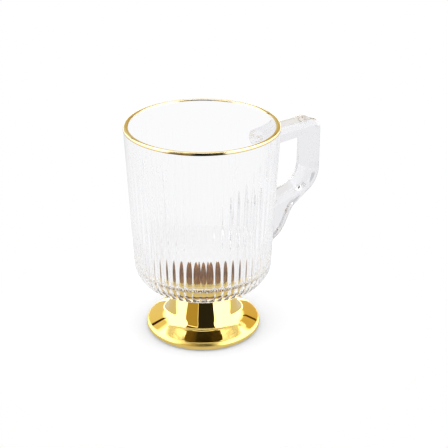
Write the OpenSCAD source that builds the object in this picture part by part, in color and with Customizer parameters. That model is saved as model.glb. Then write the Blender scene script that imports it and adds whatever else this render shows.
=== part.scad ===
// Footed glass mug: a fluted bowl with a fused handle, a gold plated pedestal and a gold lip.
// Millimetres. The origin is on the bowl's axis in the plane that the foot stands on.
// +Z is up and the handle points along +X.

/* [Bowl] */
// Outer diameter of the lip
rim_d = 80; // [74:0.5:88]
// Height of the mug, from the standing ring to the top of the lip
mug_h = 115.5; // [106:0.5:126]
// Lean of the side wall away from upright, in degrees
side_lean = 2.7; // [1:0.1:4]
// Thickness of the wall at the lip, which is fully rounded
lip_w = 2.6; // [2:0.1:3.2]
// Thickness of the wall at the top of the inner bottom corner
low_wall = 3.5; // [3:0.1:4.2]
// Thickness of the glass base on the axis
base_t = 6.5; // [5:0.1:9]
// Radius of the outer bottom corner
corner_r = 12.6; // [10:0.1:15]
// Radius of the inner bottom corner
inner_corner_r = 11; // [8:0.1:13]
// Rise of the underside from the neck to the corner, in degrees
under_rise = 8; // [3:0.5:14]

/* [Flutes] */
// Number of flutes in a full turn, the plain strip behind the handle included
flute_count = 56; // [48:2:58]
// Radius of the round section that each flute is cut with
flute_r = 2.6; // [2.3:0.1:3]
// Depth of a flute at its upper end, where it starts
flute_start = 0.15; // [0.1:0.05:0.3]
// Depth of a flute at the bottom of the side wall
flute_depth = 0.75; // [0.4:0.05:0.85]
// Plain band between the top of the lip and the upper end of the flutes
plain_band_h = 12.5; // [9:0.5:20]
// Radius of the round section that carries a flute on round the bottom corner
corner_flute_r = 3.3; // [3:0.1:4]
// Depth of a flute in the middle of the bottom corner
corner_depth = 0.9; // [0.5:0.05:1]
// Angle round the bottom corner at which a flute is deepest, in degrees
corner_mid = 31; // [26:1:36]
// Least plain glass between the handle's root and the nearest flute
root_margin = 0.5; // [0.3:0.1:0.8]

/* [Handle] */
// Distance from the mug's axis to the outer face of the grip bar
handle_reach = 80.2; // [76:0.1:86]
// Width of the handle, across the mug
handle_w = 13; // [11:0.1:13.6]
// Height of the upper arm's top face
arm_top = 102.5; // [100:0.1:104]
// Thickness of the upper arm
arm_t = 8.8; // [8:0.1:9.6]
// Thickness of the grip bar
bar_t = 8.9; // [8:0.1:9.6]
// Radius of the outer top corner
top_corner_r = 7; // [5:0.1:8]
// Radius of the finger gap's top corner
gap_top_r = 2.5; // [1.5:0.1:4]
// Radius of the outer lower bend
low_bend_r = 14; // [10:0.5:16]
// Radius of the finger gap's lower bend
gap_low_r = 12; // [8:0.5:13]
// Height at which the lower arm's top face would meet the mug's axis
low_arm_z = 55.6; // [53:0.1:57]
// Rise of the lower arm's top face, in degrees
low_arm_rise = 8; // [5:0.5:11]
// Height of the corner that the lower bend rounds off
low_corner_z = 64.9; // [63:0.1:67]
// Distance from the axis to the notch where the lower arm turns into the web
notch_x = 60.1; // [58:0.1:62]
// Height of the notch
notch_z = 53.7; // [52:0.1:55]
// Radius of the notch
notch_r = 7; // [4:0.5:9]
// Distance from the axis to the corner that the web's round edge cuts off
web_x = 51.7; // [50:0.1:53]
// Height of that corner
web_z = 39.2; // [38:0.1:41]
// Radius of the web's round edge
web_r = 20; // [12:0.5:22]
// Height at which the web's lower edge would meet the mug's axis
web_foot_z = 20.4; // [19:0.1:22]
// Rounding along all edges of the handle
edge_r = 3.6; // [2.5:0.1:3.9]

/* [Foot] */
// Diameter of the foot over its gold
foot_d = 61.6; // [58:0.1:66]
// Height of the foot, up to the seam under the bowl
foot_h = 25.6; // [23:0.1:28]
// Radius of the neck at the seam, over its gold
neck_r = 15.2; // [13:0.1:17]
// Lean of the neck away from upright, in degrees
neck_lean = 16; // [12:0.5:20]
// Radius of the rounded edge of the brim
bead_r = 2.4; // [2:0.1:3]
// Slope of the brim, in degrees
brim_slope = 22; // [16:0.5:26]
// Radius of the hollow curve between the neck and the brim
flare_r = 7; // [4:0.5:9]
// Width of the flat ring that the mug stands on
ring_w = 3.9; // [3:0.1:5]
// Height of the shallow dome under the foot
dome_h = 3.6; // [2:0.1:4.5]

/* [Gold] */
// Thickness of the gold on the lip and on the foot
gold_t = 0.15; // [0.1:0.01:0.2]
// Angle above level at which the gold starts, round the outside of the lip
band_from = 5; // [0:1:40]
// Angle at which it ends, on from there over the top, down the inside of the lip
band_to = 142; // [110:1:150]

/* [Hidden] */

// Facets of a full turn, and of the small round sections
turn_fn = 128;
section_fn = 40;
// Overrun of the cuts
cut_over = 0.5;
// Steps in an arc of an outline
arc_steps = 10;
// Rings of points over each rounded edge of the handle
edge_steps = 4;
glass_colour = [0.85, 0.92, 0.94, 0.55];
gold_colour = [0.83, 0.65, 0.22];

// Lip: a full round between the outer and the inner wall
lip_r = lip_w / 2;
lip_c = [rim_d / 2 - lip_r, mug_h - gold_t - lip_r];
floor_z = foot_h + base_t;

// Outer radius of the side wall at a height
function side_r(z) = lip_c[0] + lip_r / cos(side_lean) - (lip_c[1] - z) * tan(side_lean);

// Centre of the outer bottom corner, which touches the side wall and the underside
corner_reach = lip_c[0] - lip_c[1] * tan(side_lean) + (lip_r - corner_r) / cos(side_lean);
corner_z = (foot_h + (corner_reach - neck_r) * tan(under_rise) + corner_r / cos(under_rise))
    / (1 - tan(side_lean) * tan(under_rise));
corner_c = [corner_reach + corner_z * tan(side_lean), corner_z];

// Inner wall: it leans more than the outer one, because the glass thickens downwards. It touches
// the round of the lip and the round of the inner corner.
inner_c_z = floor_z + inner_corner_r;
inner_low_r = side_r(inner_c_z) - low_wall;
inner_c = [inner_low_r - inner_corner_r, inner_c_z];
inner_span = lip_c - inner_c;
inner_lean = acos((lip_r + inner_corner_r) / norm(inner_span)) - atan2(inner_span[1], inner_span[0]);

// Points on an arc about c, from angle a0 to angle a1
function arc(c, r, a0, a1, steps = arc_steps) =
    [for (i = [0:steps]) let (a = a0 + (a1 - a0) * i / steps) c + r * [cos(a), sin(a)]];

function unit(v) = v / norm(v);
function left_of(v) = [-v[1], v[0]];
function turn_sign(u, v) = sign(u[0] * v[1] - u[1] * v[0]);

// One corner of an outline, rounded with radius r between its two neighbours
function rounded(before, at, after, r) =
    let (
        u = unit(at - before), v = unit(after - at), side = turn_sign(u, v),
        half = acos(max(-1, min(1, u * v))) / 2,
        start = at - u * r * tan(half),
        c = start + side * left_of(u) * r,
        a0 = atan2(start[1] - c[1], start[0] - c[0])
    ) arc(c, r, a0, a0 + side * 2 * half);

// A closed outline from corners [x, y, radius]
function outline(corners) = [
    for (i = [0:len(corners) - 1])
        let (
            n = len(corners), k = corners[i],
            p = corners[(i + n - 1) % n], q = corners[(i + 1) % n],
            at = [k[0], k[1]]
        )
        each (k[2] > 0 ? rounded([p[0], p[1]], at, [q[0], q[1]], k[2]) : [at])
];

// An outline moved towards its left side by d, corner by corner
function inset(points, d) = [
    for (i = [0:len(points) - 1])
        let (
            n = len(points),
            a = left_of(unit(points[i] - points[(i + n - 1) % n])),
            b = left_of(unit(points[(i + 1) % n] - points[i]))
        )
        points[i] + (a + b) * d / (1 + a * b)
];

// Directions out of and up the side wall, in the plane of the section
wall_out = [cos(side_lean), -sin(side_lean)];
wall_up = [sin(side_lean), cos(side_lean)];

// Section of the bowl's underside and outer corner, from the axis to the foot of the side wall
under_side = concat(
    [[0, foot_h], [neck_r, foot_h]],
    arc(corner_c, corner_r, under_rise - 90, -side_lean)
);

// Section of the whole bowl: underside, side, lip, inner wall and floor
bowl_section = concat(
    under_side,
    arc(lip_c, lip_r, -side_lean, 180 - inner_lean),
    arc(inner_c, inner_corner_r, -inner_lean, -90),
    [[0, floor_z]]
);

// Half the width of a flute where it meets the wall
flute_half_w = sqrt(flute_r * flute_r - pow(flute_r - flute_depth, 2));
flute_step = 360 / flute_count;
// Flutes nearer to the handle than this are left out, so that its root lies on plain glass
root_angle = asin((handle_w / 2 + flute_half_w + root_margin) / side_r(corner_c[1]));

// A point of the section plane, placed in space
function in_space(p) = [p[0], 0, p[1]];

// A round bar between two points of the section plane
module bar_between(a, b, r) {
    translate(in_space(a))
        rotate([0, atan2(b[0] - a[0], b[1] - a[1]), 0])
        cylinder(r = r, h = norm(b - a), $fn = section_fn);
}

// Point of the outer corner at an angle below level, moved outwards by off
function on_corner(angle, off) = corner_c + (corner_r + off) * [cos(angle), -sin(angle)];

// Each flute is cut by two bars: one that sinks into the side wall downwards from a shallow start,
// and one across the bottom corner, which it leaves at both ends
side_top_z = mug_h - plain_band_h;
side_top = [side_r(side_top_z), side_top_z] + (flute_r - flute_start) * wall_out;
side_low = on_corner(side_lean, flute_r - flute_depth) - cut_over * wall_up;
corner_half = sqrt(corner_r * corner_r - pow(corner_r - corner_depth, 2)) + cut_over;
corner_at = on_corner(side_lean + corner_mid, corner_flute_r - corner_depth);
corner_up = [sin(side_lean + corner_mid), cos(side_lean + corner_mid)];

// Puts its children at each flute, except near the handle
module at_flutes() {
    for (i = [1:flute_count - 1])
        if (min(i, flute_count - i) * flute_step > root_angle)
            rotate([0, 0, i * flute_step]) children();
}

module bowl() {
    color(glass_colour)
    difference() {
        rotate_extrude($fn = turn_fn) polygon(bowl_section);
        at_flutes() bar_between(side_low, side_top, flute_r);
        at_flutes() bar_between(
            corner_at - corner_half * corner_up, corner_at + corner_half * corner_up, corner_flute_r
        );
    }
}

// The handle's side view, clockwise from its upper root. Both roots start inside the wall.
root_x = inner_low_r - edge_r;
bar_in = handle_reach - bar_t;
handle_side = outline([
    [root_x, arm_top, 0],
    [handle_reach, arm_top, top_corner_r],
    [handle_reach, low_corner_z, low_bend_r],
    [notch_x, notch_z, notch_r],
    [web_x, web_z, web_r],
    [root_x, web_foot_z + root_x * (web_z - web_foot_z) / web_x, 0],
    [root_x, low_arm_z + root_x * tan(low_arm_rise), 0],
    [bar_in, low_arm_z + bar_in * tan(low_arm_rise), gap_low_r],
    [bar_in, arm_top - arm_t, gap_top_r],
    [root_x, arm_top - arm_t, 0]
]);
// Place in that list of the web's root, which follows four rounded corners
web_root = 1 + 4 * (arc_steps + 1);
last_point = len(handle_side) - 1;

// Outer radius of the bowl at a height, down into the bottom corner
function bowl_r(z) = z > on_corner(side_lean, 0)[1] ? side_r(z)
    : corner_c[0] + sqrt(max(0, corner_r * corner_r - pow(z - corner_c[1], 2)));
// Distance from the axis, along X, of the bowl's outside at a height and a distance y across
function wall_x(z, y) = sqrt(pow(bowl_r(z), 2) - y * y);

// Where a line from a point outside the bowl to one inside it meets the wall, by halving
function meet(out, in, y, halvings = 24) =
    let (mid = (out + in) / 2)
    halvings == 0 ? mid
    : mid[0] > wall_x(mid[1], y) ? meet(mid, in, y, halvings - 1)
    : meet(out, mid, y, halvings - 1);

// One ring of the handle, inset by d at a distance y across. Its roots lie on the wall.
function handle_ring(d, y) =
    let (
        p = inset(handle_side, -d),
        low = meet(p[web_root - 1], p[web_root], y)[1],
        high = meet(p[web_root + 2], p[web_root + 1], y)[1]
    )
    concat(
        [meet(p[1], p[0], y)],
        [for (i = [1:web_root - 1]) p[i]],
        [
            for (i = [0:arc_steps])
                let (z = low + (high - low) * i / arc_steps) [wall_x(z, y), z]
        ],
        [for (i = [web_root + 2:last_point - 1]) p[i]],
        [meet(p[last_point - 1], p[last_point], y)]
    );

// Inset and place across of each ring, from one flat side over the middle to the other
edge_angles = [for (i = [0:edge_steps]) 90 * i / edge_steps];
handle_rings = concat(
    [for (a = edge_angles) [edge_r * (1 - sin(a)), handle_w / 2 - edge_r * (1 - cos(a))]],
    [[0, 0]],
    [for (a = edge_angles) [edge_r * (1 - cos(a)), -handle_w / 2 + edge_r * (1 - sin(a))]]
);

// Triangles of a flat side: pairs across the arms and the bar, then a fan from the notch
function flat_side(n) =
    let (
        arm_end = 2 * (arc_steps + 1),
        gap_end = n - 1 - arm_end,
        notch_mid = arm_end + 1 + floor(arc_steps / 2)
    )
    concat(
        [
            for (i = [0:arm_end - 1])
                each [[i, i + 1, n - 2 - i], [i, n - 2 - i, n - 1 - i]]
        ],
        [for (i = [notch_mid + 1:gap_end - 1]) [notch_mid, i, i + 1]],
        [[notch_mid, gap_end, arm_end]],
        [for (i = [arm_end:notch_mid - 2]) [notch_mid, i, i + 1]]
    );

module handle() {
    rings = [for (k = handle_rings) handle_ring(k[0], k[1])];
    n = len(rings[0]);
    last = len(rings) - 1;
    points = [for (k = [0:last]) for (p = rings[k]) [p[0], handle_rings[k][1], p[1]]];
    walls = [
        for (k = [0:last - 1]) for (i = [0:n - 1])
            let (j = (i + 1) % n)
            each [
                [k * n + i, (k + 1) * n + j, k * n + j],
                [k * n + i, (k + 1) * n + i, (k + 1) * n + j]
            ]
    ];
    near = flat_side(n);
    far = [for (t = near) [last * n + t[0], last * n + t[2], last * n + t[1]]];
    color(glass_colour) polyhedron(points, concat(near, walls, far));
}

// Section of the foot, from the seam down the outside to the axis underneath, moved inwards by d
brim_start = [foot_d / 2 - bead_r + bead_r * sin(brim_slope), bead_r + bead_r * cos(brim_slope)];
// Where the neck's line and the brim's line cross, which the hollow curve rounds off
cross_z = (brim_start[1] + (brim_start[0] - neck_r - foot_h * tan(neck_lean)) * tan(brim_slope))
    / (1 - tan(neck_lean) * tan(brim_slope));
cross_r = neck_r + (foot_h - cross_z) * tan(neck_lean);
ring_out = foot_d / 2 - bead_r;
ring_in = ring_out - ring_w;
// The dome is part of a sphere through the ring's inner edge
dome_r = (ring_in * ring_in + dome_h * dome_h) / (2 * dome_h);
// The hollow curve touches the neck and the brim
flare_half = (90 - neck_lean - brim_slope) / 2;
flare_c = [cross_r, cross_z] + flare_r / cos(flare_half)
    * [cos(neck_lean + flare_half), sin(neck_lean + flare_half)];

function foot_side(d) = concat(
    [[neck_r - d / cos(neck_lean), foot_h]],
    arc(flare_c, flare_r + d, 180 + neck_lean, 270 - brim_slope),
    arc([ring_out, bead_r], bead_r - d, 90 - brim_slope, -90),
    arc([0, dome_h - dome_r], dome_r + d, asin((dome_r - dome_h + d) / (dome_r + d)), 90)
);

module foot_core() {
    color(glass_colour)
    rotate_extrude($fn = turn_fn)
    polygon(concat(foot_side(gold_t), [[0, foot_h]]));
}

module foot_plating() {
    inner = foot_side(gold_t);
    color(gold_colour)
    rotate_extrude($fn = turn_fn)
    polygon(concat(foot_side(0), [for (i = [len(inner) - 1:-1:0]) inner[i]]));
}

// The gold on the lip lies over the top of its round
module rim_band() {
    color(gold_colour)
    rotate_extrude($fn = turn_fn)
    polygon(concat(
        arc(lip_c, lip_r + gold_t, band_from, band_to),
        arc(lip_c, lip_r, band_to, band_from)
    ));
}

bowl();
handle();
foot_core();
foot_plating();
rim_band();
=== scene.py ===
"""A footed glass mug: fluted bowl, fused handle, gold lustre lip and mirror gold pedestal.

Every glass piece is a closed mesh. Where two pieces are fused or plated, their touching faces
carry the fused seam finish, through which light goes straight on, as in one body of glass.
All lengths in the dataclasses are millimetres, and meshes are written in metres.
"""

from __future__ import annotations

import logging
import math
from dataclasses import dataclass, field
from enum import Enum
from typing import Callable, Sequence

import bmesh
import bpy
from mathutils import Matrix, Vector

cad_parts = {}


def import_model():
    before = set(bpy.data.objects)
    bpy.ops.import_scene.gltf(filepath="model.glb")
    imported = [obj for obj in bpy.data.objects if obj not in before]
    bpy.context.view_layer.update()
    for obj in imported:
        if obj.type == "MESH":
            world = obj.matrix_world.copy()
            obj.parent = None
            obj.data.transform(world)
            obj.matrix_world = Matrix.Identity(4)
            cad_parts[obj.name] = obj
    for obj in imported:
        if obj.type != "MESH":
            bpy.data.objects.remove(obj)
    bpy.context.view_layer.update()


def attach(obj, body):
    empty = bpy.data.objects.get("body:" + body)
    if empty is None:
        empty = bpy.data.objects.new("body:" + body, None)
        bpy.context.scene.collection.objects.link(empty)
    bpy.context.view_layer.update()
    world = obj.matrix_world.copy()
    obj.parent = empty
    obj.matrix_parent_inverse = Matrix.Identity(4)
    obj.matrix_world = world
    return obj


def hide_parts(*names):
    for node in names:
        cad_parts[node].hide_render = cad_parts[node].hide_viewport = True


LOG = logging.getLogger("mug")
MATHS = "ShaderNodeMath"
MM = 0.001
ON_AXIS_MM = 0.001
WELD_MM = 0.0005
SLIVER_MM = 0.0001

Point = tuple[float, float]
Colour = tuple[float, float, float, float]
Source = bpy.types.Node | bpy.types.NodeSocket
FaceTest = Callable[[bmesh.types.BMFace], bool]


class Slot(Enum):
    """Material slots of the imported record."""

    GLASS = "clear_glass"
    PLATING = "gold_plating"
    LUSTRE = "gold_lustre"


def linear(hex_colour: str) -> Colour:
    """Turn an sRGB hex colour to linear red, green, blue and a full alpha.

    Args:
        hex_colour: colour such as "#D4A017".

    Returns:
        The four linear channels.
    """
    channels = [int(hex_colour[i : i + 2], 16) / 255 for i in (1, 3, 5)]
    red, green, blue = (
        c / 12.92 if c <= 0.04045 else ((c + 0.055) / 1.055) ** 2.4 for c in channels
    )
    return red, green, blue, 1.0


def add_node(
    tree: bpy.types.NodeTree,
    kind: str,
    settings: dict[str, object] | None = None,
    inputs: dict[int | str, object] | None = None,
) -> bpy.types.Node:
    """Add one node with its settings and its inputs.

    Args:
        tree: node tree that gets the node.
        kind: Blender's type name of the node.
        settings: attributes of the node.
        inputs: what inputs get, by name or index: a node, whose first output feeds them, or a
            socket that feeds them, or a value.

    Returns:
        The new node.
    """
    node = tree.nodes.new(kind)
    for key, value in (settings or {}).items():
        setattr(node, key, value)
    for key, value in (inputs or {}).items():
        source = value.outputs[0] if isinstance(value, bpy.types.Node) else value
        if isinstance(source, bpy.types.NodeSocket):
            tree.links.new(source, node.inputs[key])
        else:
            node.inputs[key].default_value = source
    return node


def new_material(name: str) -> tuple[bpy.types.Material, bpy.types.NodeTree]:
    """Make an empty node material.

    Args:
        name: name of the finish.

    Returns:
        The material and its cleared node tree.
    """
    material = bpy.data.materials.new(name)
    material.use_nodes = True
    material.node_tree.nodes.clear()
    return material, material.node_tree


@dataclass(frozen=True)
class PressedGlass:
    """Clear soda-lime glass, pressed in a mould and fire polished.

    Fire polishing leaves a wet gloss over faint, broad waves from the mould. The glass takes a
    little light away each time that light goes in or out, and its glare is soft.
    """

    name: str
    colour: str
    glint: str = "#8C8C8C"
    ior: float = 1.52
    roughness: float = 0.0
    wave_mm: float = 7.0
    wave_height_mm: float = 0.012

    def make(self) -> bpy.types.Material:
        """Build the finish.

        Returns:
            The material.
        """
        material, tree = new_material(self.name)
        waves = add_node(
            tree,
            "ShaderNodeTexNoise",
            inputs={
                "Vector": add_node(tree, "ShaderNodeTexCoord").outputs["Object"],
                "Scale": 1 / (self.wave_mm * MM),
                "Detail": 1.0,
                "Roughness": 0.4,
            },
        )
        bump = add_node(
            tree,
            "ShaderNodeBump",
            inputs={
                "Height": waves.outputs["Fac"],
                "Strength": 1.0,
                "Distance": self.wave_height_mm * MM,
            },
        )
        surface = add_node(
            tree,
            "ShaderNodeBsdfPrincipled",
            inputs={
                "Base Color": linear(self.colour),
                "Roughness": self.roughness,
                "IOR": self.ior,
                "Transmission Weight": 1.0,
                "Specular Tint": linear(self.glint),
                "Normal": bump.outputs["Normal"],
            },
        )
        add_node(tree, "ShaderNodeOutputMaterial", inputs={"Surface": surface.outputs["BSDF"]})
        return material


BOWL_GLASS = PressedGlass(name="pressed_clear_glass", colour="#FDFDFD")
HANDLE_GLASS = PressedGlass(name="thick_pressed_glass", colour="#EEEEF0")


@dataclass(frozen=True)
class FusedSeam:
    """Face along which two glass pieces, or glass and its gold, are one body.

    Nothing is seen of it: light passes without a bend or a glint.
    """

    name: str = "fused_seam"
    colour: str = "#FFFFFF"

    def make(self) -> bpy.types.Material:
        """Build the finish.

        Returns:
            The material.
        """
        material, tree = new_material(self.name)
        surface = add_node(
            tree,
            "ShaderNodeBsdfPrincipled",
            inputs={"Base Color": linear(self.colour), "Roughness": 1.0, "Alpha": 0.0},
        )
        add_node(tree, "ShaderNodeOutputMaterial", inputs={"Surface": surface.outputs["BSDF"]})
        return material


@dataclass(frozen=True)
class GoldCoat:
    """Gold laid on glass: mirror plating on the foot, or brushed-on lustre fired on the lip.

    The coat follows the glass, so the mirror swims a little over the mould's waves, and handling
    leaves a fine cloud that shows only where it catches a lamp. The foot's bead rubs on tables
    and cloths, which turns its mirror to satin. The lustre is painted darker down the side of
    the lip, as painted shade, between the two heights given for its edge.
    """

    name: str
    colour: str
    deep_colour: str
    roughness: float
    cloud_roughness: float
    wave_mm: float
    wave_height_mm: float
    cloud_mm: float = 6.0
    cloud_shows: Point = (0.35, 0.75)
    satin_up_mm: float = 4.7
    satin_fade_mm: float = 0.3
    satin_roughness: float = 0.32
    # Painted shade: colour and heights of the darker side of the lip.
    edge_shade_colour: str = "#EDCB6E"
    edge_shade_up_mm: Point = (-2.0, -1.0)

    def make(self) -> bpy.types.Material:
        """Build the finish.

        Returns:
            The material.
        """
        material, tree = new_material(self.name)
        place = add_node(tree, "ShaderNodeTexCoord").outputs["Object"]
        height = add_node(tree, "ShaderNodeSeparateXYZ", inputs={"Vector": place}).outputs["Z"]
        clouds = add_node(
            tree,
            "ShaderNodeTexNoise",
            inputs={
                "Vector": place,
                "Scale": 1 / (self.cloud_mm * MM),
                "Detail": 4.0,
                "Roughness": 0.6,
            },
        ).outputs["Fac"]
        surface = add_node(
            tree,
            "ShaderNodeBsdfPrincipled",
            inputs={
                "Metallic": 1.0,
                "Base Color": self.tone(tree, clouds, height),
                "Roughness": self.haze(tree, clouds, height),
                "Normal": self.swim(tree, place),
            },
        )
        add_node(tree, "ShaderNodeOutputMaterial", inputs={"Surface": surface.outputs["BSDF"]})
        return material

    def tone(self, tree: bpy.types.NodeTree, clouds: Source, height: Source) -> Source:
        """Colour of the gold, deeper in its clouds and turned darker at its edge by painted
        shade.

        Args:
            tree: node tree of the finish.
            clouds: pattern of the clouds.
            height: height of the point.

        Returns:
            The colour.
        """
        tone = add_node(
            tree,
            "ShaderNodeMix",
            {"data_type": "RGBA"},
            {0: clouds, 6: linear(self.colour), 7: linear(self.deep_colour)},
        )
        # Painted shade: the gold turns darker down the side of the lip.
        edge = add_node(
            tree,
            "ShaderNodeMapRange",
            inputs={
                "Value": height,
                "From Min": self.edge_shade_up_mm[0] * MM,
                "From Max": self.edge_shade_up_mm[1] * MM,
                "To Min": 1.0,
                "To Max": 0.0,
            },
        )
        return add_node(
            tree,
            "ShaderNodeMix",
            {"data_type": "RGBA"},
            {0: edge.outputs["Result"], 6: tone.outputs[2], 7: linear(self.edge_shade_colour)},
        ).outputs[2]

    def haze(self, tree: bpy.types.NodeTree, clouds: Source, height: Source) -> Source:
        """Roughness of the gold, higher in its clouds and on the worn bead.

        Args:
            tree: node tree of the finish.
            clouds: pattern of the clouds.
            height: height of the point.

        Returns:
            The roughness.
        """
        haze = add_node(
            tree,
            "ShaderNodeMapRange",
            inputs={
                "Value": clouds,
                "From Min": self.cloud_shows[0],
                "From Max": self.cloud_shows[1],
                "To Min": self.roughness,
                "To Max": self.cloud_roughness,
            },
        )
        satin = add_node(
            tree,
            "ShaderNodeMapRange",
            inputs={
                "Value": height,
                "From Min": (self.satin_up_mm - self.satin_fade_mm) * MM,
                "From Max": self.satin_up_mm * MM,
                "To Min": self.satin_roughness,
                "To Max": 0.0,
            },
        )
        return add_node(tree, MATHS, {"operation": "MAXIMUM"}, {0: haze, 1: satin})

    def swim(self, tree: bpy.types.NodeTree, place: Source) -> Source:
        """Normal of the gold over the mould's waves.

        Args:
            tree: node tree of the finish.
            place: place of the point.

        Returns:
            The normal.
        """
        waves = add_node(
            tree,
            "ShaderNodeTexNoise",
            inputs={
                "Vector": place,
                "Scale": 1 / (self.wave_mm * MM),
                "Detail": 1.0,
                "Roughness": 0.35,
            },
        )
        return add_node(
            tree,
            "ShaderNodeBump",
            inputs={
                "Height": waves.outputs["Fac"],
                "Strength": 1.0,
                "Distance": self.wave_height_mm * MM,
            },
        ).outputs["Normal"]


FOOT_GOLD = GoldCoat(
    name="mirror_gold_plating",
    colour="#F4D67E",
    deep_colour="#EDCB6E",
    roughness=0.02,
    cloud_roughness=0.05,
    wave_mm=9.0,
    wave_height_mm=0.01,
)
# Painted light: the foot's gold made paler for the plating's inner faces behind the glass.
GOLD_PAINTED_PALER_BEHIND_GLASS = GoldCoat(
    name="gold_painted_paler_behind_glass",
    colour="#FCEAC4",
    deep_colour="#F6DEAE",
    roughness=0.08,
    cloud_roughness=0.14,
    wave_mm=9.0,
    wave_height_mm=0.01,
)
LIP_GOLD = GoldCoat(
    name="fired_gold_lustre",
    colour="#E4D6AE",
    deep_colour="#D0BE90",
    roughness=0.1,
    cloud_roughness=0.2,
    wave_mm=3.0,
    wave_height_mm=0.02,
    # Painted shade: the lip's side darkens to this colour below these heights.
    edge_shade_colour="#6E5C34",
    edge_shade_up_mm=(114.3, 115.4),
)


def select_only(obj: bpy.types.Object) -> None:
    """Deselect everything, then select one object and make it active.

    Args:
        obj: the object.
    """
    bpy.ops.object.select_all(action="DESELECT")
    obj.select_set(True)
    bpy.context.view_layer.objects.active = obj


def select_faces(obj: bpy.types.Object, wanted: FaceTest) -> int:
    """Select faces of the mesh in edit mode by a test.

    Args:
        obj: object in edit mode.
        wanted: test on a face.

    Returns:
        How many faces are selected.
    """
    bpy.ops.mesh.select_mode(type="FACE")
    bpy.ops.mesh.select_all(action="DESELECT")
    mesh = bmesh.from_edit_mesh(obj.data)
    chosen = [face for face in mesh.faces if wanted(face)]
    for face in chosen:
        face.select_set(True)
    bmesh.update_edit_mesh(obj.data)
    return len(chosen)


def arc(
    centre: Point, radius: float, start: float, end: float, steps: int, offset: float = 0.0
) -> list[Point]:
    """Points on an arc in the section plane.

    Args:
        centre: centre of the arc.
        radius: radius of the arc.
        start: first angle, in degrees.
        end: last angle, in degrees.
        steps: number of stretches.
        offset: growth of the radius.

    Returns:
        The points, both ends included.
    """
    angles = [math.radians(start + (end - start) * i / steps) for i in range(steps + 1)]
    reach = radius + offset
    return [(centre[0] + reach * math.cos(a), centre[1] + reach * math.sin(a)) for a in angles]


def run(start: Point, end: Point, steps: int) -> list[Point]:
    """Points on a straight run, without its two ends.

    Args:
        start: where the run begins.
        end: where the run ends.
        steps: number of stretches.

    Returns:
        The points between the ends.
    """
    return [
        (
            start[0] + (end[0] - start[0]) * i / steps,
            start[1] + (end[1] - start[1]) * i / steps,
        )
        for i in range(1, steps)
    ]


def draw_wire(name: str, points: Sequence[Vector]) -> bpy.types.Object:
    """Draw a wire point by point, as a pen does, and leave it in edit mode.

    Args:
        name: name of the new object.
        points: points in metres.

    Returns:
        The new object, all selected, in edit mode.
    """
    bpy.ops.object.select_all(action="DESELECT")
    bpy.ops.mesh.primitive_plane_add(size=MM, location=(0, 0, 0))
    obj = bpy.context.object
    obj.name = obj.data.name = name
    bpy.ops.object.mode_set(mode="EDIT")
    bpy.ops.mesh.select_mode(type="VERT")
    bpy.ops.mesh.select_all(action="SELECT")
    bpy.ops.mesh.merge(type="CENTER")
    bpy.ops.transform.translate(value=points[0])
    for before, after in zip(points, points[1:]):
        bpy.ops.mesh.extrude_vertices_move(TRANSFORM_OT_translate={"value": after - before})
    bpy.ops.mesh.select_all(action="SELECT")
    return obj


def turn_on_lathe(name: str, section: Sequence[Point], columns: int) -> bpy.types.Object:
    """Draw a half-section and spin it round the mug's axis into a closed piece.

    Args:
        name: name of the new piece.
        section: points (radius, height) in millimetres, from pole to pole or as a closed loop.
        columns: faces round a full turn.

    Returns:
        The new object in object mode, with normals outwards.
    """
    obj = draw_wire(name, [Vector((r * MM, 0, z * MM)) for r, z in section])
    if section[0][0] > ON_AXIS_MM:
        bpy.ops.mesh.edge_face_add()
        bpy.ops.mesh.delete(type="ONLY_FACE")
        bpy.ops.mesh.select_all(action="SELECT")
    bpy.ops.mesh.spin(
        steps=columns, angle=2 * math.pi, center=(0, 0, 0), axis=(0, 0, 1), use_auto_merge=True
    )
    bpy.ops.mesh.select_all(action="SELECT")
    bpy.ops.mesh.remove_doubles(threshold=WELD_MM * MM)
    bpy.ops.mesh.dissolve_degenerate(threshold=SLIVER_MM * MM)
    bpy.ops.mesh.select_all(action="SELECT")
    bpy.ops.mesh.normals_make_consistent(inside=False)
    bpy.ops.object.mode_set(mode="OBJECT")
    return obj


def paint(
    obj: bpy.types.Object,
    finishes: Sequence[bpy.types.Material],
    wanted: FaceTest | None = None,
) -> None:
    """Give a piece its finishes, the second one on the faces that pass a test.

    Args:
        obj: the piece.
        finishes: main finish, then the finish of the chosen faces.
        wanted: test on a face, or None to leave faces as they are.
    """
    for finish in finishes:
        obj.data.materials.append(finish)
    if wanted is None:
        return
    select_only(obj)
    bpy.ops.object.mode_set(mode="EDIT")
    found = select_faces(obj, wanted)
    obj.active_material_index = 1
    bpy.ops.object.material_slot_assign()
    bpy.ops.object.mode_set(mode="OBJECT")
    LOG.info("%s: %d faces are %s", obj.name, found, finishes[1].name)


def smooth(obj: bpy.types.Object, degrees: float) -> None:
    """Shade a piece smooth except over edges sharper than an angle."""
    select_only(obj)
    bpy.ops.object.shade_smooth_by_angle(angle=math.radians(degrees))


def hand_over(obj: bpy.types.Object, node: str) -> None:
    """Tie a finished piece to the body and hide the solid that it stands for.

    Args:
        obj: the piece.
        node: the solid that it replaces.
    """
    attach(obj, "root")
    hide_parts(node)
    LOG.info("%s: %d faces, replaces %s", obj.name, len(obj.data.polygons), node)


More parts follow.
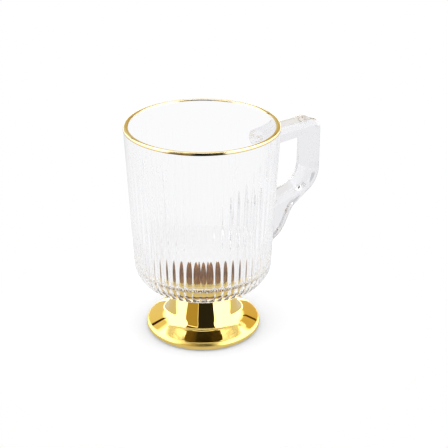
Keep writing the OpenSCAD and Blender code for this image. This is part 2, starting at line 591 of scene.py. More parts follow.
@dataclass
class Bowl:
    """Pressed bowl with a rounded lip, flutes round its side and a thick base.

    The band is the part of the lip's round that the gold covers, from one angle to another.
    """

    rim_d: float = 80.0
    mug_h: float = 115.5
    lean: float = 2.7
    lip_w: float = 2.6
    low_wall: float = 3.5
    base_t: float = 6.5
    corner_r: float = 12.6
    inner_corner_r: float = 11.0
    under_rise: float = 8.0
    foot_h: float = 25.6
    neck_r: float = 15.2
    gold_t: float = 0.15
    flute_count: int = 56
    flute_r: float = 2.6
    flute_start: float = 0.15
    flute_depth: float = 0.75
    flute_edge: float = 0.05
    flute_end: float = 0.02
    start_run: float = 3.0
    plain_band: float = 12.5
    corner_depth: float = 0.9
    corner_mid: float = 31.0
    corner_flute_r: float = 3.3
    root_gap: float = 0.5
    columns_a_flute: int = 12
    band: Point = (5.0, 142.0)
    under_steps: int = 3
    corner_steps: int = 20
    wall_steps: int = 28
    lip_steps: tuple[int, int, int] = (3, 7, 5)
    inner_wall_steps: int = 8
    inner_corner_steps: int = 12
    floor_steps: int = 3
    hair: float = 0.01
    seam_reach: float = 0.1
    smooth_below: float = 32.0

    def __post_init__(self) -> None:
        """Work out the section's centres and radii."""
        lean, rise = math.radians(self.lean), math.radians(self.under_rise)
        self.lip_r = self.lip_w / 2
        self.lip_c = (self.rim_d / 2 - self.lip_r, self.mug_h - self.gold_t - self.lip_r)
        self.floor_z = self.foot_h + self.base_t
        reach = (
            self.lip_c[0]
            - self.lip_c[1] * math.tan(lean)
            + (self.lip_r - self.corner_r) / math.cos(lean)
        )
        corner_z = (
            self.foot_h + (reach - self.neck_r) * math.tan(rise) + self.corner_r / math.cos(rise)
        ) / (1 - math.tan(lean) * math.tan(rise))
        self.corner_c = (reach + corner_z * math.tan(lean), corner_z)
        inner_z = self.floor_z + self.inner_corner_r
        inner_r = self.side_r(inner_z) - self.low_wall
        self.inner_c = (inner_r - self.inner_corner_r, inner_z)
        span = (self.lip_c[0] - self.inner_c[0], self.lip_c[1] - self.inner_c[1])
        self.inner_lean = math.degrees(
            math.acos((self.lip_r + self.inner_corner_r) / math.hypot(*span))
            - math.atan2(span[1], span[0])
        )
        self.corner_top = self.corner_c[1] - self.corner_r * math.sin(lean)

    def side_r(self, z: float) -> float:
        """Outer radius of the side wall at a height."""
        lean = math.radians(self.lean)
        down = (self.lip_c[1] - z) * math.tan(lean)
        return self.lip_c[0] + self.lip_r / math.cos(lean) - down

    def outer_r(self, z: float) -> float:
        """Outer radius at a height, down into the bottom corner.

        Args:
            z: the height.

        Returns:
            The radius of the plain bowl, without its flutes.
        """
        if z > self.corner_top:
            return self.side_r(z)
        drop = z - self.corner_c[1]
        return self.corner_c[0] + math.sqrt(max(0.0, self.corner_r**2 - drop**2))

    def section(self) -> list[Point]:
        """Half-section of the plain bowl.

        Returns:
            Points from the pole under the base, round the lip, to the pole of the floor.
        """
        start, end = self.band
        below, gilt, inside = self.lip_steps
        inner_end = 180 - self.inner_lean
        corner = arc(
            self.corner_c, self.corner_r, self.under_rise - 90, -self.lean, self.corner_steps
        )
        lip = [
            *arc(self.lip_c, self.lip_r, -self.lean, start, below),
            *arc(self.lip_c, self.lip_r, start, end, gilt)[1:],
            *arc(self.lip_c, self.lip_r, end, inner_end, inside)[1:],
        ]
        inner = arc(
            self.inner_c, self.inner_corner_r, -self.inner_lean, -90, self.inner_corner_steps
        )
        neck, floor_end = (self.neck_r, self.foot_h), (0.0, self.floor_z)
        return [
            (0.0, self.foot_h),
            neck,
            *run(neck, corner[0], self.under_steps),
            *corner,
            *run(corner[-1], lip[0], self.wall_steps),
            *lip,
            *run(lip[-1], inner[0], self.inner_wall_steps),
            *inner,
            *run(inner[-1], floor_end, self.floor_steps),
            floor_end,
        ]

    def corner_angle(self, r: float, z: float) -> float:
        """Angle below level of a point about the bottom corner's centre, in degrees."""
        return math.degrees(math.atan2(self.corner_c[1] - z, r - self.corner_c[0]))

    def flute_at(self, r: float, z: float) -> Point:
        """Size of the flutes at a point of the outside.

        Args:
            r: distance of the point from the axis.
            z: height of the point.

        Returns:
            Depth of a flute's middle, and radius of its round section.
        """
        start_z = self.mug_h - self.plain_band
        if z >= self.corner_top:
            if z > start_z + self.start_run:
                return 0.0, self.flute_r
            share = (start_z - z) / (start_z - self.corner_top)
            depth = self.flute_start + (self.flute_depth - self.flute_start) * share
            fade = min(1.0, (start_z + self.start_run - z) / (2 * self.start_run))
            return depth * fade * fade * (3 - 2 * fade), self.flute_r
        mid = self.lean + self.corner_mid
        angle = self.corner_angle(r, z)
        share = min(1.0, (angle - self.lean) / (mid - self.lean))
        radius = self.flute_r + (self.corner_flute_r - self.flute_r) * share
        if angle < mid:
            return self.flute_depth + (self.corner_depth - self.flute_depth) * share, radius
        chord = (self.corner_r - self.corner_depth) / math.cos(math.radians(angle - mid))
        return max(0.0, self.corner_r - chord), radius

    def is_outside(self, r: float, z: float) -> bool:
        """Whether a point of the section is on the side wall or the bottom corner.

        Args:
            r: distance of the point from the axis.
            z: height of the point.

        Returns:
            True on the outside that carries flutes.
        """
        if z >= self.corner_top:
            return z < self.lip_c[1] and r > self.side_r(z) - self.hair
        out = math.hypot(r - self.corner_c[0], z - self.corner_c[1])
        return r > self.corner_c[0] and abs(out - self.corner_r) < self.hair

    def groove(self, point: Vector, handle_half: float) -> float:
        """Depth of the fluting under a point of the plain bowl.

        Args:
            point: the point, in metres.
            handle_half: half the width of the handle, behind which no flute is cut.

        Returns:
            The depth in millimetres.
        """
        r, z = math.hypot(point.x, point.y) / MM, point.z / MM
        if not self.is_outside(r, z):
            return 0.0
        step = 2 * math.pi / self.flute_count
        turn = math.atan2(point.y, point.x)
        flute = round(turn / step)
        root_half = handle_half + self.flute_half_w() + self.root_gap
        if abs(flute) * step <= math.asin(root_half / self.side_r(self.corner_c[1])):
            return 0.0
        depth, radius = self.flute_at(r, z)
        if depth <= 0.0:
            return 0.0
        across = r * math.sin(turn - flute * step)
        below = math.sqrt(max(0.0, radius**2 - across**2)) - (radius - depth)
        soft = self.flute_edge
        return max(0.0, 0.5 * (below + math.sqrt(below**2 + soft**2)) - self.flute_end * soft)

    def flute_half_w(self) -> float:
        """Half the width of a flute at the bottom of the side wall."""
        return math.sqrt(self.flute_r**2 - (self.flute_r - self.flute_depth) ** 2)

    def press_flutes(self, bowl: bpy.types.Object, handle_half: float) -> None:
        """Sink the flutes into the plain bowl along its normals, by a weight on each point.

        Args:
            bowl: the plain bowl.
            handle_half: half the width of the handle.
        """
        deepest = max(self.flute_depth, self.corner_depth)
        group = bowl.vertex_groups.new(name="flutes")
        for vertex in bowl.data.vertices:
            depth = self.groove(vertex.co, handle_half)
            if depth > 0:
                group.add([vertex.index], min(1.0, depth / deepest), "REPLACE")
        press = bowl.modifiers.new("flutes", "DISPLACE")
        press.vertex_group = group.name
        press.mid_level = 0.0
        press.strength = -deepest * MM
        select_only(bowl)
        bpy.ops.object.modifier_apply(modifier=press.name)
        bowl.vertex_groups.clear()

    def build(
        self, glass: bpy.types.Material, seam: bpy.types.Material, handle: Handle
    ) -> None:
        """Model the bowl, press its flutes and dress it.

        Args:
            glass: finish of the open glass.
            seam: finish of the faces fused to the foot, the handle and the gold.
            handle: the handle, whose roots lie on the wall.
        """
        columns = self.flute_count * self.columns_a_flute
        bowl = turn_on_lathe("bowl_glass", self.section(), columns)
        self.press_flutes(bowl, handle.width / 2)

        def fused(face: bmesh.types.BMFace) -> bool:
            """Whether a face touches another piece."""
            at = face.calc_center_median()
            r, z = math.hypot(at.x, at.y) / MM, at.z / MM
            under_foot = r < self.neck_r and abs(z - self.foot_h) < self.seam_reach
            round_lip = math.degrees(math.atan2(z - self.lip_c[1], r - self.lip_c[0]))
            gilt = z > self.lip_c[1] and self.band[0] < round_lip < self.band[1]
            return under_foot or gilt or handle.covers(at, self)

        paint(bowl, (glass, seam), fused)
        smooth(bowl, self.smooth_below)
        hand_over(bowl, "bowl")


@dataclass
class Handle:
    """Pressed handle: level arm, upright grip bar, slanting lower arm and a web down the wall.

    The fields from cutter_up down shape the cutter that fits the roots to the bowl's wall.
    """

    reach: float = 80.2
    width: float = 13.0
    arm_top: float = 102.5
    arm_t: float = 8.8
    bar_t: float = 8.9
    top_corner_r: float = 7.0
    gap_top_r: float = 2.5
    low_bend_r: float = 14.0
    gap_low_r: float = 12.0
    low_arm_z: float = 55.6
    low_arm_rise: float = 8.0
    low_corner_z: float = 64.9
    notch: Point = (60.1, 53.7)
    notch_r: float = 7.0
    web: Point = (51.7, 39.2)
    web_r: float = 20.0
    web_foot_z: float = 20.4
    edge_r: float = 3.6
    root_x: float = 30.0
    edge_steps: int = 8
    bend_steps: int = 4
    bend_degrees: float = 6.0
    wall_reach: float = 0.5
    flat: float = 0.99
    smooth_below: float = 30.0
    cutter_up: Point = (28.0, 108.0)
    cutter_from: float = -70.0
    cutter_steps: int = 24
    cutter_columns: int = 360
    seam: float = 0.02

    def corners(self) -> list[tuple[float, float, float]]:
        """Corners of the side view.

        Returns:
            Each corner as (x, z, radius), clockwise from the upper root.
        """
        rise = math.tan(math.radians(self.low_arm_rise))
        fall = (self.web[1] - self.web_foot_z) / self.web[0]
        bar_in = self.reach - self.bar_t
        return [
            (self.root_x, self.arm_top, 0),
            (self.reach, self.arm_top, self.top_corner_r),
            (self.reach, self.low_corner_z, self.low_bend_r),
            (*self.notch, self.notch_r),
            (*self.web, self.web_r),
            (self.root_x, self.web_foot_z + self.root_x * fall, 0),
            (self.root_x, self.low_arm_z + self.root_x * rise, 0),
            (bar_in, self.low_arm_z + bar_in * rise, self.gap_low_r),
            (bar_in, self.arm_top - self.arm_t, self.gap_top_r),
            (self.root_x, self.arm_top - self.arm_t, 0),
        ]

    def rounded(self, before: Vector, at: Vector, after: Vector, radius: float) -> list[Vector]:
        """One corner of the side view as an arc between its two straight sides.

        Args:
            before: the corner before.
            at: the corner itself.
            after: the corner after.
            radius: radius of the arc.

        Returns:
            The points of the arc.
        """
        u, v = (at - before).normalized(), (after - at).normalized()
        side = math.copysign(1.0, u.x * v.y - u.y * v.x)
        turn = u.angle(v)
        start = at - u * radius * math.tan(turn / 2)
        centre = start + side * radius * Vector((-u.y, u.x))
        first = math.atan2(start.y - centre.y, start.x - centre.x)
        steps = max(self.bend_steps, round(math.degrees(turn) / self.bend_degrees))
        angles = [first + side * turn * i / steps for i in range(steps + 1)]
        return [centre + radius * Vector((math.cos(a), math.sin(a))) for a in angles]

    def side_view(self) -> list[Vector]:
        """Closed side view with its round corners.

        Returns:
            The points (x, z), in millimetres.
        """
        corners = self.corners()
        points: list[Vector] = []
        for i, (x, z, radius) in enumerate(corners):
            at = Vector((x, z))
            if radius == 0:
                points.append(at)
                continue
            before, after = corners[i - 1], corners[(i + 1) % len(corners)]
            points += self.rounded(Vector(before[:2]), at, Vector(after[:2]), radius)
        return points

    def covers(self, at: Vector, bowl: Bowl) -> bool:
        """Whether a point of the bowl's outside lies under one of the roots.

        Args:
            at: the point, in metres.
            bowl: the bowl that carries the handle.

        Returns:
            True under a root.
        """
        x, y, z = at.x / MM, abs(at.y) / MM, at.z / MM
        if x < 0 or math.hypot(x, y) < bowl.outer_r(z) - self.wall_reach:
            return False
        half = self.width / 2
        if y > half or z > bowl.lip_c[1]:
            return False
        over = max(0.0, y - (half - self.edge_r))
        drawn = self.edge_r - math.sqrt(self.edge_r**2 - over**2)
        rise = math.tan(math.radians(self.low_arm_rise))
        fall = (self.web[1] - self.web_foot_z) / self.web[0]
        on_arm = self.arm_top - self.arm_t + drawn < z < self.arm_top - drawn
        low = self.web_foot_z + x * fall + drawn
        high = self.low_arm_z + x * rise - drawn
        return on_arm or low < z < high

    def build(self, glass: bpy.types.Material, seam: bpy.types.Material, bowl: Bowl) -> None:
        """Model the handle, fit its roots to the wall and dress it.

        Args:
            glass: finish of the open glass.
            seam: finish of the faces fused to the bowl.
            bowl: the bowl that carries the handle.
        """
        middle_half = self.width / 2 - self.edge_r
        points = [Vector((p.x * MM, -middle_half * MM, p.y * MM)) for p in self.side_view()]
        handle = draw_wire("handle_glass", points)
        bpy.ops.mesh.edge_face_add()
        bpy.ops.mesh.select_mode(type="FACE")
        bpy.ops.mesh.select_all(action="SELECT")
        bpy.ops.mesh.extrude_region_move(
            TRANSFORM_OT_translate={"value": (0, 2 * middle_half * MM, 0)}
        )
        bpy.ops.mesh.select_all(action="SELECT")
        bpy.ops.mesh.normals_make_consistent(inside=False)
        for side in (-1, 1):
            select_faces(handle, lambda face: face.normal.y * side > self.flat)
            self.round_side()
        bpy.ops.object.mode_set(mode="OBJECT")
        handle.data.materials.append(glass)
        self.fit_roots(handle, bowl, seam)
        smooth(handle, self.smooth_below)
        hand_over(handle, "handle")

    def round_side(self) -> None:
        """Round the edge of the selected side by insets that rise along a quarter circle."""
        angles = [math.pi / 2 * i / self.edge_steps for i in range(self.edge_steps + 1)]
        for before, after in zip(angles, angles[1:]):
            bpy.ops.mesh.inset(
                thickness=self.edge_r * (math.cos(before) - math.cos(after)) * MM,
                depth=self.edge_r * (math.sin(after) - math.sin(before)) * MM,
                use_even_offset=True,
            )

    def fit_roots(
        self, handle: bpy.types.Object, bowl: Bowl, seam: bpy.types.Material
    ) -> None:
        """Cut the roots to the bowl's wall and give the cut the seam finish.

        Args:
            handle: the handle, whose roots reach into the bowl.
            bowl: the bowl that carries it.
            seam: finish of the cut.
        """
        low, high = self.cutter_up
        side = arc(
            bowl.corner_c,
            bowl.corner_r,
            self.cutter_from,
            -bowl.lean,
            self.cutter_steps,
            self.seam,
        )
        section = [
            (0.0, low),
            (side[0][0], low),
            *side,
            (bowl.side_r(high) + self.seam, high),
            (0.0, high),
        ]
        cutter = turn_on_lathe("wall_cutter", section, self.cutter_columns)
        cutter.data.materials.append(seam)
        cut = handle.modifiers.new("roots", "BOOLEAN")
        cut.operation = "DIFFERENCE"
        cut.solver = "EXACT"
        cut.material_mode = "TRANSFER"
        cut.object = cutter
        select_only(handle)
        bpy.ops.object.modifier_apply(modifier=cut.name)
        bpy.data.objects.remove(cutter, do_unlink=True)


@dataclass
class Foot:
    """Pressed pedestal and the gold plating that wraps it.

    glass_mid is a point (radius, height) in the glass, to which the plating's inner faces look.
    """

    foot_d: float = 61.6
    foot_h: float = 25.6
    neck_r: float = 15.2
    neck_lean: float = 16.0
    bead_r: float = 2.4
    brim_slope: float = 22.0
    flare_r: float = 7.0
    ring_w: float = 3.9
    dome_h: float = 3.6
    gold_t: float = 0.15
    seam: float = 0.02
    glass_mid: Point = (18.0, 5.5)
    columns: int = 256
    neck_steps: int = 10
    flare_steps: int = 14
    brim_steps: int = 8
    bead_steps: int = 18
    ring_steps: int = 3
    dome_steps: int = 16
    smooth_below: float = 40.0

    def side(self, off: float) -> list[Point]:
        """Half-section from the seam down the outside to the axis.

        Args:
            off: how far the section is moved into the glass.

        Returns:
            The points.
        """
        lean, slope = math.radians(self.neck_lean), math.radians(self.brim_slope)
        bead_c = (self.foot_d / 2 - self.bead_r, self.bead_r)
        brim_r = bead_c[0] + self.bead_r * math.sin(slope)
        brim_z = bead_c[1] + self.bead_r * math.cos(slope)
        neck_at_floor = self.neck_r + self.foot_h * math.tan(lean)
        cross_z = (brim_z + (brim_r - neck_at_floor) * math.tan(slope)) / (
            1 - math.tan(lean) * math.tan(slope)
        )
        cross_r = self.neck_r + (self.foot_h - cross_z) * math.tan(lean)
        half = (math.pi / 2 - lean - slope) / 2
        away = self.flare_r / math.cos(half)
        flare_c = (
            cross_r + away * math.cos(lean + half),
            cross_z + away * math.sin(lean + half),
        )
        ring_in = bead_c[0] - self.ring_w
        dome_r = (ring_in**2 + self.dome_h**2) / (2 * self.dome_h)
        dome_c = (0.0, self.dome_h - dome_r)
        dome_start = math.degrees(math.asin((off - dome_c[1]) / (dome_r + off)))
        top = (self.neck_r - off / math.cos(lean), self.foot_h)
        flare = arc(
            flare_c,
            self.flare_r,
            180 + self.neck_lean,
            270 - self.brim_slope,
            self.flare_steps,
            off,
        )
        bead = arc(bead_c, self.bead_r, 90 - self.brim_slope, -90, self.bead_steps, -off)
        dome = arc(dome_c, dome_r, dome_start, 90, self.dome_steps, off)
        return [
            top,
            *run(top, flare[0], self.neck_steps),
            *flare,
            *run(flare[-1], bead[0], self.brim_steps),
            *bead,
            *run(bead[-1], dome[0], self.ring_steps),
            *dome,
        ]

    def faces_core(self, face: bmesh.types.BMFace) -> bool:
        """Whether a face of the plating looks inwards, to the glass core.

        Args:
            face: the face.

        Returns:
            True where the face looks towards the middle of the glass.
        """
        mid_r, mid_z = (length * MM for length in self.glass_mid)
        at = face.calc_center_median()
        out = Vector((at.x, at.y, 0.0)).normalized()
        return (at - out * mid_r - Vector((0.0, 0.0, mid_z))).dot(face.normal) < 0

    def build(
        self,
        glass: bpy.types.Material,
        seam: bpy.types.Material,
        golds: Sequence[bpy.types.Material],
    ) -> None:
        """Model and dress the glass core and its plating.

        Args:
            glass: finish of open glass, of which the core shows none.
            seam: finish of the core, which the bowl and the gold cover all over.
            golds: plating's outer finish, then a copy painted lighter, seen through glass.
        """
        core_side = self.side(self.gold_t + self.seam)
        core_top = self.foot_h - self.seam
        core_side[0] = (core_side[0][0], core_top)
        core = turn_on_lathe("foot_core_glass", [(0.0, core_top), *core_side], self.columns)
        paint(core, (glass, seam), lambda face: True)
        smooth(core, self.smooth_below)
        hand_over(core, "foot_core")
        outer, inner = self.side(0.0), self.side(self.gold_t)
        plating = turn_on_lathe("foot_gold", [*reversed(inner), *outer], self.columns)
        paint(plating, golds, self.faces_core)
        smooth(plating, self.smooth_below)
        hand_over(plating, "foot_plating")


@dataclass
class LipBand:
    """Gold lustre over the top of the round lip."""

    gold_t: float = 0.15
    seam: float = 0.02
    columns: int = 256
    steps: int = 14
    smooth_below: float = 40.0

    def build(self, gold: bpy.types.Material, bowl: Bowl) -> None:
        """Model and dress the band on the bowl's lip.

        Args:
            gold: finish of the band.
            bowl: the bowl, whose lip carries it.
        """
        start, end = bowl.band
        outer = arc(bowl.lip_c, bowl.lip_r, start, end, self.steps, self.gold_t)
        inner = arc(bowl.lip_c, bowl.lip_r, end, start, self.steps, self.seam)
        band = turn_on_lathe("lip_gold", [*outer, *inner], self.columns)
        paint(band, (gold,))
        smooth(band, self.smooth_below)
        hand_over(band, "rim_band")


class Across(Enum):
    """Ways to measure how far sideways a patch of the room lies, seen from the mug."""

    SIDEWAYS = "share of the view, drawn in towards the ceiling"
    PLAIN = "share of the view"


@dataclass(frozen=True)
class RoomPatch:
    """Patch of the room, by its colour and place.

    Its limits are given across, as a share of the view to the right, and up, in degrees of pitch
    from level at the camera's side over the ceiling to level behind the mug. Its edges fade out
    over soft and soft_up.
    """

    name: str
    colour: str
    across: Point
    up: Point
    soft: float = 0.02
    soft_up: float = 1.0
    measure: Across = Across.SIDEWAYS


# What bare gold mirrors: later patches lie over earlier ones.
MIRRORED_PATCHES = (
    RoomPatch("back_wall_left", "#F8EEC8", (-0.45, 0.0), (134, 190), 0.35, 8, Across.PLAIN),
    RoomPatch("back_wall_right", "#E4CA88", (0.0, 0.45), (134, 190), 0.35, 8, Across.PLAIN),
    RoomPatch("left_bar", "#3A0C04", (-0.7, -0.3), (141.5, 144.5), 0.05, 1, Across.PLAIN),
    RoomPatch("right_bar", "#5A4010", (0.3, 0.55), (149, 151.5), 0.05, 1, Across.PLAIN),
    RoomPatch("side_panel", "#BDA662", (-0.80, -0.31), (-8, 52), 0.05, 2),
    RoomPatch("panel_foot", "#584010", (-0.80, -0.29), (57, 83), 0.03, 2),
    RoomPatch("camera_side", "#2B2A28", (-0.27, 0.56), (-3, 87), 0.02, 2),
    RoomPatch("ceiling_beam", "#6B5426", (-0.60, -0.17), (94, 112), 0.06, 2),
    RoomPatch("ceiling_dark", "#2E2718", (-0.14, 0.42), (94, 112), 0.06, 2),
)
# What the glass shows and bends: the grey studio behind the camera, and one beam overhead.
GLASS_PATCHES = (
    RoomPatch("studio_grey", "#D8D8DB", (-0.9, 0.9), (5.73, 91.67), 0.2, 17.19),
    RoomPatch("beam", "#B8A478", (-0.3, 0.22), (96.26, 110.58), 0.03, 1.72, Across.PLAIN),
)


@dataclass(frozen=True)
class Sight:
    """Direction of a ray in the room, turned as the camera stands to the mug."""

    across: dict[Across, Source]
    pitch: Source
    rise: Source


@dataclass
class Studio:
    """White table and backdrop, two soft lamps, and the room that gold and glass show.

    Bare gold mirrors soft boxes with the mirrored patches over them, and a grey floor below
    low_rise. Gold that is seen through glass or in other gold mirrors the same room, dimmed,
    between the limits high_across and high_up. Everything else sees the plain white studio.
    """

    heading: float = 39.0
    camera_back_mm: float = 567.85
    camera_height_mm: float = 326.97
    pitch: float = 25.22
    turn_right: float = 1.089
    roll: float = -0.09
    focal_px: float = 1191.85
    image_px: float = 448.0
    sensor_mm: float = 36.0
    far_m: float = 100.0
    table_mm: float = 120.0
    table_corners: int = 96
    table_colour: str = "#FFFFFF"
    table_glow: float = 0.18
    backdrop_in_glass: str = "#FDFDFE"
    # Painted shade: the flat light grey that gold mirrors in place of the white table.
    table_shade_in_mirror: str = "#DCDCDE"
    flat_share: float = 0.85
    lamp_watts: float = 1.0
    lamp_mm: float = 900.0
    lamp_aim_mm: float = 60.0
    softbox_level: float = 3.6
    narrowing: float = 0.25
    low_rise: Point = (-1.1, -0.2)
    low_soft: float = 0.08
    low_colour: str = "#D0D0D2"
    high_across: Point = (-0.42, 0.42)
    high_up: Point = (74.48, 143.24)
    high_soft: Point = (0.08, 11.46)
    high_share: float = 0.7
    below_one: float = 0.5
    mirrored_patches: tuple[RoomPatch, ...] = MIRRORED_PATCHES
    glass_patches: tuple[RoomPatch, ...] = GLASS_PATCHES
    bounces: int = 48

    def camera(self) -> None:
        """Place the camera at the photograph's viewing angle."""
        heading = math.radians(self.heading)
        data = bpy.data.cameras.new("camera")
        data.sensor_width = self.sensor_mm
        data.lens = self.focal_px * self.sensor_mm / self.image_px
        data.clip_end = self.far_m
        camera = bpy.data.objects.new("camera", data)
        camera.location = (
            -self.camera_back_mm * math.sin(heading) * MM,
            -self.camera_back_mm * math.cos(heading) * MM,
            self.camera_height_mm * MM,
        )
        camera.rotation_euler = (
            math.radians(90 - self.pitch),
            math.radians(self.roll),
            -math.radians(self.heading + self.turn_right),
        )
        bpy.context.collection.objects.link(camera)
        bpy.context.scene.camera = camera

    def table(self) -> None:
        """Lay the white table that keeps the mug's shadow; glass sees it white, gold a
        painted-shade grey.
        """
        bpy.ops.object.select_all(action="DESELECT")
        bpy.ops.mesh.primitive_circle_add(
            vertices=self.table_corners,
            radius=self.table_mm * MM,
            fill_type="NGON",
            location=(0, 0, 0),
        )
        table = bpy.context.object
        table.name = "table"
        material, tree = new_material("white_table_paper")
        path = add_node(tree, "ShaderNodeLightPath").outputs
        seen: Source = path["Is Camera Ray"]
        for ray in ("Is Glossy Ray", "Is Transmission Ray"):
            seen = add_node(tree, MATHS, {"operation": "MAXIMUM"}, {0: seen, 1: path[ray]})
        paper = add_node(
            tree, "ShaderNodeBsdfDiffuse", inputs={"Color": linear(self.table_colour)}
        )
        strength = add_node(
            tree, MATHS, {"operation": "MULTIPLY"}, {0: seen, 1: self.table_glow}
        )
        glow = add_node(tree, "ShaderNodeEmission", inputs={"Strength": strength})
        shown = add_node(tree, "ShaderNodeAddShader", inputs={0: paper, 1: glow})
        # Gold mirrors the table in a flat grey of painted shade, and glass sees it as flat
        # white.
        for ray, colour in (
            ("Is Glossy Ray", self.table_shade_in_mirror),
            ("Is Transmission Ray", self.backdrop_in_glass),
        ):
            share = add_node(
                tree, MATHS, {"operation": "MULTIPLY"}, {0: path[ray], 1: self.flat_share}
            )
            flat = add_node(tree, "ShaderNodeEmission", inputs={"Color": linear(colour)})
            shown = add_node(
                tree, "ShaderNodeMixShader", inputs={0: share, 1: shown, 2: flat}
            )
        add_node(tree, "ShaderNodeOutputMaterial", inputs={"Surface": shown})
        table.data.materials.append(material)

    @staticmethod
    def zone(tree: bpy.types.NodeTree, value: Source, limits: Point, soft: float) -> Source:
        """Value that is one between two limits, with soft edges outside them.

        Args:
            tree: node tree of the world.
            value: what is set against the limits.
            limits: the limits.
            soft: width of an edge.

        Returns:
            The share.
        """
        low, high = limits
        rise, fall = (
            add_node(
                tree,
                "ShaderNodeMapRange",
                {"interpolation_type": "SMOOTHSTEP"},
                {
                    "Value": value,
                    "From Min": start,
                    "From Max": start + soft,
                    "To Min": before,
                    "To Max": after,
                },
            )
            for start, before, after in ((low - soft, 0.0, 1.0), (high, 1.0, 0.0))
        )
        return add_node(tree, MATHS, {"operation": "MULTIPLY"}, {0: rise, 1: fall})

    def sight(self, tree: bpy.types.NodeTree) -> Sight:
        """Work out where a ray looks in the room.

        Args:
            tree: node tree of the world.

        Returns:
            The direction.
        """
        turned = add_node(
            tree,
            "ShaderNodeVectorRotate",
            {"rotation_type": "Z_AXIS"},
            {
                "Vector": add_node(tree, "ShaderNodeTexCoord").outputs["Generated"],
                "Angle": math.radians(self.heading),
            },
        )
        axes = add_node(tree, "ShaderNodeSeparateXYZ", inputs={"Vector": turned})
        right, back, rise = (axes.outputs[name] for name in "XYZ")
        towards = add_node(tree, MATHS, {"operation": "MULTIPLY"}, {0: back, 1: -1.0})
        pitch = add_node(tree, MATHS, {"operation": "ARCTAN2"}, {0: rise, 1: towards})
        narrowing = add_node(
            tree, MATHS, {"operation": "MULTIPLY"}, {0: pitch, 1: -self.narrowing}
        )
        spread = add_node(tree, MATHS, {"operation": "ADD"}, {0: narrowing, 1: 1.0})
        drawn_in = add_node(tree, MATHS, {"operation": "DIVIDE"}, {0: right, 1: spread})
        return Sight({Across.SIDEWAYS: drawn_in, Across.PLAIN: right}, pitch, rise)

    def window(
        self,
        tree: bpy.types.NodeTree,
        across: Source,
        pitch: Source,
        limits: tuple[Point, Point],
        soft: Point,
    ) -> Source:
        """Value that is one inside a window of the room.

        Args:
            tree: node tree of the world.
            across: how far sideways the ray looks.
            pitch: how high the ray looks.
            limits: limits across, then up in degrees.
            soft: width of an edge across, then up in degrees.

        Returns:
            The share.
        """
        low, high = (math.radians(angle) for angle in limits[1])
        sideways = self.zone(tree, across, limits[0], soft[0])
        upwards = self.zone(tree, pitch, (low, high), math.radians(soft[1]))
        return add_node(tree, MATHS, {"operation": "MULTIPLY"}, {0: sideways, 1: upwards})

    def painted(
        self,
        tree: bpy.types.NodeTree,
        sight: Sight,
        ground: Colour,
        patches: Sequence[RoomPatch],
    ) -> Source:
        """Paint patches over a plain ground.

        Args:
            tree: node tree of the world.
            sight: direction of the ray.
            ground: colour between the patches.
            patches: the patches, each over the ones before.

        Returns:
            The colour in that direction.
        """
        shown: Source | Colour = ground
        for patch in patches:
            share = self.window(
                tree,
                sight.across[patch.measure],
                sight.pitch,
                (patch.across, patch.up),
                (patch.soft, patch.soft_up),
            )
            shown = add_node(
                tree,
                "ShaderNodeMix",
                {"data_type": "RGBA", "label": patch.name},
                {0: share, 6: shown, 7: linear(patch.colour)},
            ).outputs[2]
        return shown

    def room(self) -> None:
        """Light the room: plain white, with what glass shows and what gold mirrors."""
        world = bpy.data.worlds.new("studio")
        world.use_nodes = True
        tree = world.node_tree
        tree.nodes.clear()
        sight = self.sight(tree)
        softbox = (self.softbox_level, self.softbox_level, self.softbox_level, 1.0)
        mirrored = add_node(
            tree,
            "ShaderNodeMix",
            {"data_type": "RGBA"},
            {
                0: self.zone(tree, sight.rise, self.low_rise, self.low_soft),
                6: self.painted(tree, sight, softbox, self.mirrored_patches),
                7: linear(self.low_colour),
            },
        ).outputs[2]
        dimmed = add_node(
            tree,
            "ShaderNodeVectorMath",
            {"operation": "SCALE"},
            {0: mirrored, "Scale": self.high_share},
        ).outputs[0]
        in_glass = self.painted(
            tree, sight, linear(self.backdrop_in_glass), self.glass_patches
        )
        bare, lifted, through_glass = self.rays(tree, sight)
        shown: Source | Colour = linear("#FFFFFF")
        for share, colour in ((through_glass, in_glass), (lifted, dimmed), (bare, mirrored)):
            shown = add_node(
                tree, "ShaderNodeMix", {"data_type": "RGBA"}, {0: share, 6: shown, 7: colour}
            ).outputs[2]
        sky = add_node(tree, "ShaderNodeBackground", inputs={"Color": shown})
        add_node(tree, "ShaderNodeOutputWorld", inputs={"Surface": sky})
        bpy.context.scene.world = world

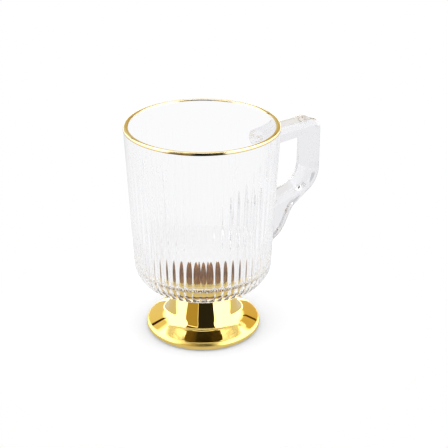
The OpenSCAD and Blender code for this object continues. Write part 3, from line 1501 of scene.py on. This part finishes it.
    def rays(self, tree: bpy.types.NodeTree, sight: Sight) -> tuple[Source, Source, Source]:
        """Tell rays apart by the way they came.

        Args:
            tree: node tree of the world.
            sight: direction of the ray.

        Returns:
            Shares of rays straight from a mirror, of rays from a mirror behind glass or in
            another mirror that look at the room's high part, and of rays from glass or mirror.
        """
        path = add_node(tree, "ShaderNodeLightPath").outputs
        glossy, bent = path["Is Glossy Ray"], path["Is Transmission Ray"]
        detours = add_node(
            tree,
            MATHS,
            {"operation": "ADD"},
            {0: path["Transmission Depth"], 1: path["Diffuse Depth"]},
        )
        straight, reflected, undiffused = (
            add_node(tree, MATHS, {"operation": test}, {0: count, 1: self.below_one})
            for test, count in (
                ("LESS_THAN", detours),
                ("GREATER_THAN", path["Glossy Depth"]),
                ("LESS_THAN", path["Diffuse Depth"]),
            )
        )
        bare = add_node(tree, MATHS, {"operation": "MULTIPLY"}, {0: glossy, 1: straight})
        high = self.window(
            tree,
            sight.across[Across.PLAIN],
            sight.pitch,
            (self.high_across, self.high_up),
            self.high_soft,
        )
        lifted = add_node(
            tree, MATHS, {"operation": "MULTIPLY"}, {0: reflected, 1: undiffused}
        )
        lifted = add_node(tree, MATHS, {"operation": "MULTIPLY"}, {0: lifted, 1: high})
        through_glass = add_node(tree, MATHS, {"operation": "MAXIMUM"}, {0: glossy, 1: bent})
        return bare, lifted, through_glass

    def lamp(self, name: str, place_mm: Vector) -> None:
        """Hang one soft square lamp that faces the mug.

        Args:
            name: name of the lamp.
            place_mm: where it hangs.
        """
        data = bpy.data.lights.new(name, "AREA")
        data.shape = "SQUARE"
        data.size = self.lamp_mm * MM
        data.energy = self.lamp_watts
        lamp = bpy.data.objects.new(name, data)
        lamp.location = place_mm * MM
        aim = Vector((0.0, 0.0, self.lamp_aim_mm)) * MM - lamp.location
        lamp.rotation_euler = aim.to_track_quat("-Z", "Y").to_euler()
        lamp.visible_camera = False
        lamp.visible_glossy = False
        lamp.visible_transmission = False
        bpy.context.collection.objects.link(lamp)

    def build(self) -> None:
        """Set up the camera, the table, the room and the lamps."""
        self.camera()
        self.table()
        self.room()
        self.lamp("soft_lamp_left", Vector((-900.0, 300.0, 900.0)))
        self.lamp("soft_lamp_right", Vector((700.0, -700.0, 900.0)))
        bpy.context.scene.view_settings.view_transform = "Standard"
        cycles = bpy.context.scene.cycles
        cycles.max_bounces = cycles.transmission_bounces = self.bounces
        cycles.glossy_bounces = cycles.transparent_max_bounces = self.bounces
        cycles.caustics_reflective = False


@dataclass
class Mug:
    """The whole mug, piece by piece."""

    bowl: Bowl = field(default_factory=Bowl)
    handle: Handle = field(default_factory=Handle)
    foot: Foot = field(default_factory=Foot)
    lip: LipBand = field(default_factory=LipBand)

    def build(self) -> None:
        """Make the finishes, then each piece in turn."""
        glass = BOWL_GLASS.make()
        seam = FusedSeam().make()
        self.bowl.build(glass, seam, self.handle)
        self.handle.build(HANDLE_GLASS.make(), seam, self.bowl)
        self.foot.build(glass, seam, (FOOT_GOLD.make(), GOLD_PAINTED_PALER_BEHIND_GLASS.make()))
        self.lip.build(LIP_GOLD.make(), self.bowl)


def main() -> None:
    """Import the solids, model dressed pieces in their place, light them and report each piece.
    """
    logging.basicConfig(level=logging.INFO, format="%(name)s: %(message)s")
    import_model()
    Mug().build()
    Studio().build()


if __name__ == "__main__":
    main()
